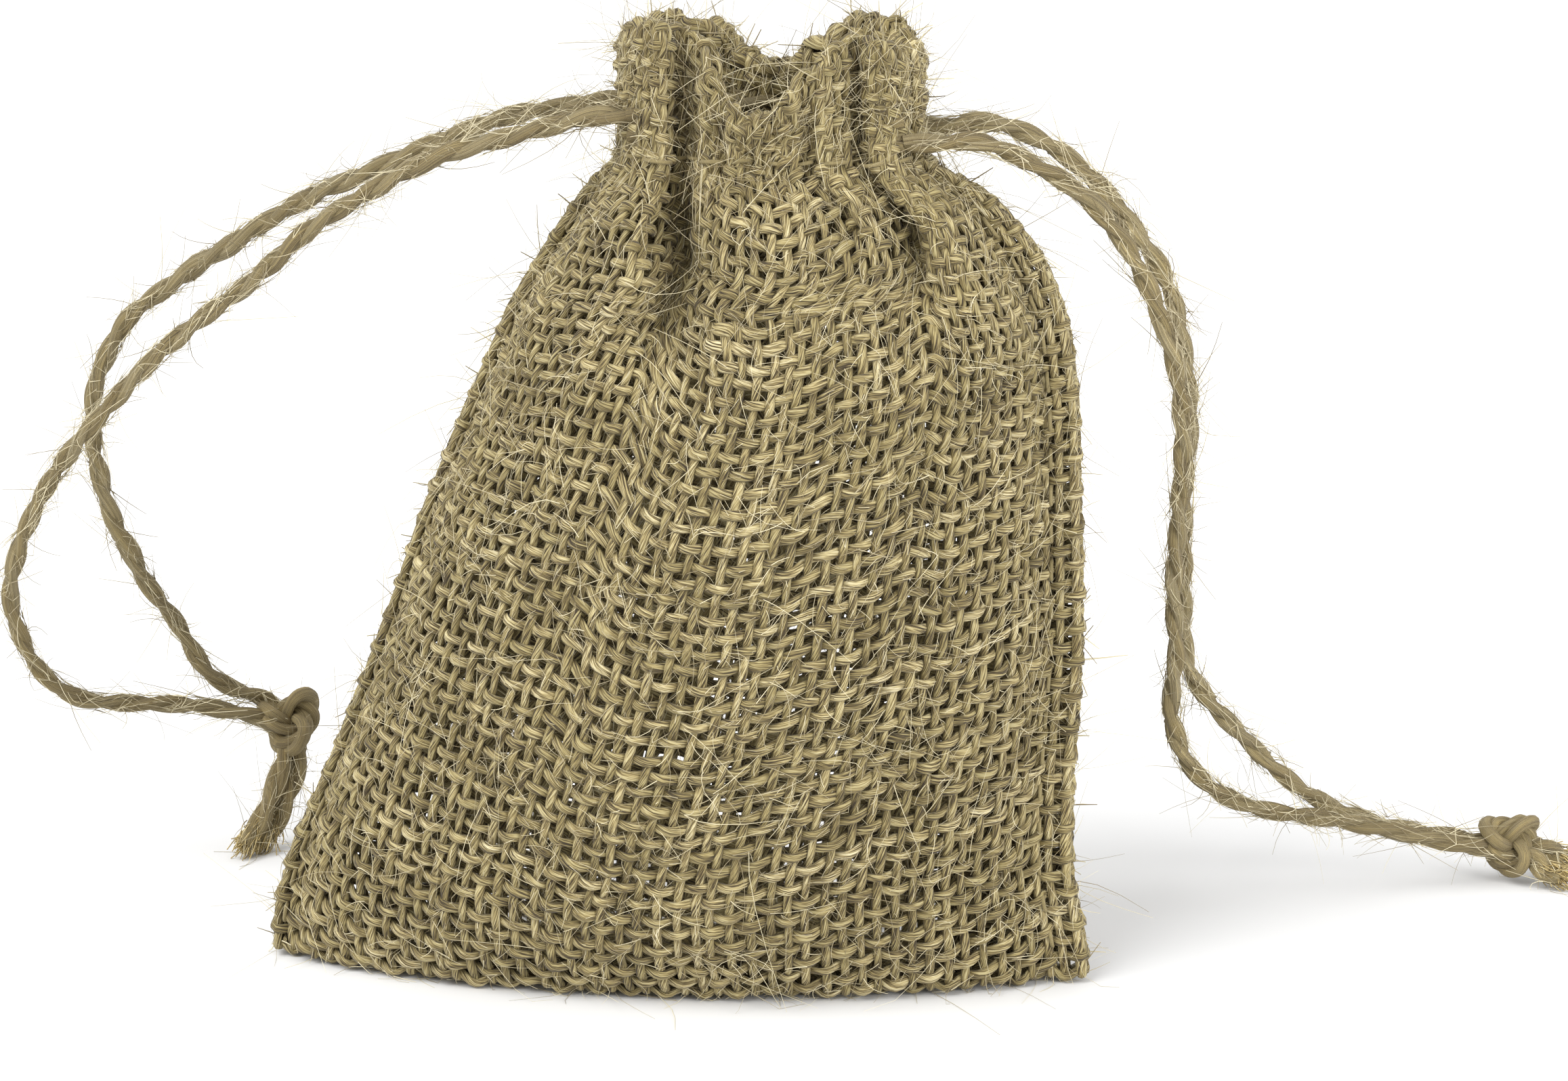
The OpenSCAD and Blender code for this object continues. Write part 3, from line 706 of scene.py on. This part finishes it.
def two_ply(line, phase=0.0, offset=PLY_OFFSET, lay=TWIST_LAY):
    """The lines of both plies that wind round a string's own line."""
    up, side = frames_along(line)
    walked = np.concatenate([[0], np.cumsum(np.linalg.norm(np.diff(line, axis=0), axis=1))])
    found = []
    for k in (0, 1):
        angle = phase - walked / lay * 2 * math.pi + k * math.pi
        found.append(line + offset * (up * np.cos(angle)[:, None] + side * np.sin(angle)[:, None]))
    return found


def string_piece(name, lines, chance, ply_r=PLY_R, offset=PLY_OFFSET):
    """A mesh of two-ply string along each line."""
    plies = [ply for k, line in enumerate(lines) for ply in two_ply(line, 1.3 * k, offset)]
    sizes = [slubby(len(ply), chance, 0.05) for ply in plies]
    return tubes(name, plies, ply_r, string_material, sizes, resolution=3)


def knot_lines(middle, size, tilt, turn):
    """Two strands side by side, tied in an overhand knot and pulled tight."""
    t = np.linspace(0, 2 * math.pi, 80)
    lines = []
    for shift in (-0.24, 0.24):
        loop = np.column_stack([np.sin(t + shift) + 2 * np.sin(2 * (t + shift)),
                                np.cos(t + shift) - 2 * np.cos(2 * (t + shift)),
                                -1.25 * np.sin(3 * (t + shift))])
        loop = loop * (0.84 + 0.3 * shift) * size / 7.7
        loop[:, 2] += 2.6 * shift * size / 7.7
        c, s = math.cos(tilt), math.sin(tilt)
        loop = loop @ np.array([(1, 0, 0), (0, c, s), (0, -s, c)])
        c, s = math.cos(turn), math.sin(turn)
        loop = loop @ np.array([(c, s, 0), (-s, c, 0), (0, 0, 1)])
        lines.append(loop + middle)
    return lines


def frayed(starts, ends, fibres, spread, chance):
    """Loose fibres that leave a tail's tip and splay."""
    found = []
    for k in range(fibres):
        pick = chance.integers(len(starts))
        a, b = np.array(starts[pick]), np.array(ends[pick])
        a = a + (b - a) * chance.uniform(0.1, 0.6) + chance.normal(0, 0.35, 3)
        b = b + chance.normal(0, spread, 3) + (b - a) * chance.uniform(-0.1, 0.35)
        bend = (a + b) / 2 + chance.normal(0, spread * 0.5, 3)
        t = np.linspace(0, 1, 7)[:, None]
        line = (1 - t) ** 2 * a + 2 * t * (1 - t) * bend + t * t * b
        line[:, 2] = np.maximum(line[:, 2], 0.08)
        found.append(line)
    return found


# %% Where the strings lie
LEGS = {
    "left_back_leg": [
        (-4, 5.2, 92.6), (-7.5, 5.2, 92.6), (-12.5, 5.5, 91.8), (-19, 6.3, 90.3), (-27.5, 8, 86.8),
        (-34.5, 9.5, 83.5), (-40, 11, 81), (-47, 13, 76.8), (-55.5, 16, 71), (-62, 18, 66),
        (-65.5, 20, 60.5), (-67.5, 22, 55.5), (-68, 24.5, 48.5), (-67, 27.5, 41), (-64.5, 30.5, 33.5),
        (-61.5, 33.5, 27.5), (-59, 36, 21.5), (-56.5, 38, 18.8), (-53, 39.8, 17), (-51, 40, 15)],
    "left_front_leg": [
        (-4, -5.2, 92.6), (-7.5, -5.2, 92.6), (-12, -4.6, 91.4), (-17.5, -3, 89.7), (-24.5, -1, 87.4),
        (-30, 0.5, 84.5), (-38.5, 3.5, 79), (-46.5, 7, 72), (-52, 9, 67.8), (-58, 11.5, 62.8),
        (-64, 14.5, 56.5), (-68.5, 16.5, 51.5), (-72.5, 19, 46), (-76, 21.5, 39.5), (-78, 23.5, 33),
        (-77.5, 26, 27), (-75.5, 28.5, 22), (-72, 30.5, 19), (-66, 33, 18), (-60, 35.5, 17.2),
        (-54, 37.5, 15.6), (-51, 39, 14)],
    "right_back_leg": [
        (24, 5.2, 90.4), (27.5, 5.2, 90.4), (31, 5.8, 90.9), (35, 6.7, 90), (40, 8, 87),
        (44.5, 9.5, 82.5), (48, 11, 77.5), (51, 12.5, 71.5), (52.5, 14.5, 64), (53, 16.5, 57.5),
        (52.5, 18.5, 49.5), (52.5, 20.5, 43.5), (52.5, 22.5, 36.5), (53, 24.5, 29), (55, 26, 24.5),
        (59.5, 28.5, 19), (63.5, 30.5, 14.5), (68.5, 32.7, 10.5), (74, 34.8, 7.8), (79.5, 36.8, 6.2),
        (85.5, 38.8, 4.9), (88.5, 39.2, 4.5)],
    "right_front_leg": [
        (24, -5.2, 90.4), (27.5, -5.2, 90.4), (32, -4.2, 90.4), (37, -2.5, 88), (41.5, -0.8, 85),
        (45, 1, 81), (47.5, 2.5, 77), (50, 4.5, 71), (51.8, 6.5, 64.5), (52.5, 8.5, 58.5),
        (52.3, 11, 51.5), (52, 13, 45.5), (51.7, 15.5, 38.5), (52, 18, 31), (51.5, 20, 25.5),
        (52, 22, 21), (54, 24, 16.5), (57.5, 26, 13), (62.5, 28.2, 10.8), (67.5, 30.4, 9.6),
        (73.5, 32.7, 8), (79.5, 34.7, 6.2), (85.5, 36.6, 4.7), (88.5, 38.5, 4.2)]}
KNOTS = {"left": ((-50.2, 40, 14.2), 8.6, 0.9, 0.4), "right": ((89.2, 39.3, 4.7), 8.2, 1.35, 0.3)}
TAILS = {
    "left": [[(-50.0, 39, 12), (-50.5, 38.5, 10.8), (-51.5, 36.5, 7), (-53, 34.5, 3.5), (-54.2, 33.2, 1.4)],
             [(-49.4, 39.5, 12), (-49.0, 39.5, 10.8), (-49.8, 38.4, 7), (-51.2, 36.8, 3.5), (-52.4, 35.2, 1.4)]],
    "right": [[(91, 38, 3.6), (92.2, 37.5, 3.2), (93, 37, 2.2), (94, 36.8, 1.6), (94.9, 36.8, 1.5)],
              [(91.5, 39.8, 4.2), (93, 40.5, 4), (94.2, 41.4, 3), (95, 42.3, 2), (95.6, 43, 1.6)]]}
RUN_HEIGHT = {"left": 92.6, "right": 90.4}


def run_line(side, height):
    """A string's line inside a casing: it keeps between the wall and the folded-in hem."""
    surface = surfaces[side]
    cols = np.arange(20, SIDE_STEPS - 20, 3)
    rows = np.array([row_at_height(surface, c, height) for c in cols])
    point, outward = look_up(surface, rows, cols.astype(float))
    line = soften(point - outward * 0.95, 3)
    line[:, 2] = height
    sign = -1 if side == "front" else 1
    ends = [(-4, 5.2 * sign, height)], [(24, 5.2 * sign, height)]
    keep = line[(line[:, 0] > -2) & (line[:, 0] < 22)]
    return even_line(np.vstack([ends[0], keep[::3], ends[1]]))


# %% Make the strings
for side in ("left", "right"):
    chance = np.random.default_rng(77 if side == "left" else 78)
    body = side + "_drawstring"
    runs = string_piece(side + "_run", [run_line("front", RUN_HEIGHT[side]),
                                        run_line("back", RUN_HEIGHT[side])], chance)
    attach(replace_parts(runs, side + "_string_run"), body)
    knot = string_piece(side + "_overhand_knot", knot_lines(*KNOTS[side]), chance, 0.72, 0.52)
    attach(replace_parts(knot, side + "_knot"), body)
    tail_lines = [even_line(t) for t in TAILS[side]]
    tail = string_piece(side + "_tail_strings", tail_lines, chance, 0.78, 0.5)
    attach(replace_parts(tail, side + "_tails"), body)
    frayed_lines = frayed([t[-10] for t in tail_lines], [t[-1] for t in tail_lines], 260, 0.8, chance)
    fray = tubes(side + "_frayed_fibres", frayed_lines, 0.07, fray_material, resolution=0)
    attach(fray, body)
    for leg in (side + "_back_leg", side + "_front_leg"):
        line = even_line(LEGS[leg])
        made = string_piece(leg + "_string", [line], chance)
        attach(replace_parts(made, leg), body)

# %% [markdown]
# ## Loose fibres
#
# Jute is hairy. Thousands of stiff fibres stand out of the yarns, and they blur every edge of
# the cloth and of the strings. Each one starts on a yarn, leaves it at a shallow angle, and bends.

# %% Loose fibres
fibre_material, tree, output = new_material("loose_jute_fibre")
shade = add(tree, "MixRGB", {"Fac": add(tree, "NewGeometry").outputs["Random Per Island"],
                             "Color1": linear("776848"), "Color2": linear("dfd5b3")})
hair = add(tree, "BsdfPrincipled", {"Base Color": shade.outputs[0], "Roughness": 0.55})
tree.links.new(hair.outputs[0], output.inputs["Surface"])


def fibres(points, outwards, aheads, count, chance, reach, lift, curl_size=0.6):
    """Bent fibres that leave a yarn near the given points."""
    picked = chance.integers(0, len(points), count)
    found = []
    for k in picked:
        out, ahead = outwards[k], aheads[k] * chance.choice((-1, 1))
        side = np.cross(out, ahead)
        length = chance.uniform(*reach) * chance.uniform(0.5, 1)
        aim = (ahead * chance.uniform(0.4, 1) + side * chance.normal(0, 0.45)
               + out * abs(chance.normal(0, lift)))
        aim /= np.linalg.norm(aim)
        curl = chance.normal(0, curl_size, 3)
        curl -= out * max(0, np.dot(curl, out)) * 0.9
        t = np.linspace(0, 1, 5)[:, None]
        start = points[k] + out * 0.1
        found.append(start + aim * length * t + curl * length * 0.5 * t * t)
        found[-1][:, 2] = np.maximum(found[-1][:, 2], 0.06)
    return found


# How many, their shortest and longest reach, how steeply they leave the yarn, their radius, 1 for
# the outside of the cloth or -1 for its inside, and how much they curl. Lengths in millimetres.
# The radii are coarser than a real fibre's, which would be too fine to show.
KINDS = {"loose_fibres": (2700, (3.0, 9.5), 0.13, 0.036, 1, 1.1),
         "fuzz": (4800, (1.2, 4.2), 0.06, 0.042, 1, 0.5),
         "inner_fuzz": (5200, (2.5, 6.0), 0.05, 0.09, -1, 0.12)}
for side, kind in (("front", "loose_fibres"), ("front", "fuzz"), ("back", "loose_fibres"),
                   ("back", "fuzz"), ("back", "inner_fuzz")):
    count, reach, lift, thin, facing, curl_size = KINDS[kind]
    chance = np.random.default_rng(len(side) * 31 + len(kind))
    warps, wefts = laid[side]
    yarns = warps + wefts
    points = np.vstack([y[0] + facing * y[1] * YARN_T * 0.4 for y in yarns])
    outwards = facing * np.vstack([y[1] for y in yarns])
    aheads = unit(np.vstack([np.gradient(y[0], axis=0) for y in yarns]))
    lines = fibres(points, outwards, aheads, count, chance, reach, lift, curl_size)
    sizes = [np.linspace(1.0, 0.45, 5) * chance.uniform(0.6, 1.25) for _ in lines]
    made = tubes(side + "_" + kind, lines, thin, fibre_material, sizes, resolution=0)
    cloth_pieces.append((made, side))
for side in ("left", "right"):
    chance = np.random.default_rng(91)
    lines = []
    tail_lines = [even_line(t) for t in TAILS[side]]
    for line in [even_line(LEGS[side + leg]) for leg in ("_back_leg", "_front_leg")] + tail_lines:
        up, across = frames_along(line)
        angle = chance.uniform(0, 2 * math.pi, len(line))[:, None]
        out = up * np.cos(angle) + across * np.sin(angle)
        ahead = np.cross(up, across)
        many = len(line) / 290
        lines += fibres(line + out * 0.85, out, ahead, int(520 * many), chance, (2.0, 8.0), 0.22)
        lines += fibres(line + out * 0.9, out, ahead, int(900 * many), chance, (1.0, 3.5), 0.05)
    sizes = [np.linspace(1.0, 0.45, 5) * chance.uniform(0.6, 1.2) for _ in lines]
    made = tubes(side + "_string_fibres", lines, 0.042, fibre_material, sizes, resolution=0)
    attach(made, side + "_drawstring")

# %% [markdown]
# ## Baking the cloth's placement into its meshes
#
# The cloth is one piece, but the frill above the strings can fold outward. Here each piece of
# cloth only has its placement baked into its mesh.
#
# The flat size is the width of a stock pouch by the cloth's length up the back's middle with its
# hem. Up the front's middle it is 5 mm less.

for piece, side in cloth_pieces:
    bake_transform(piece)
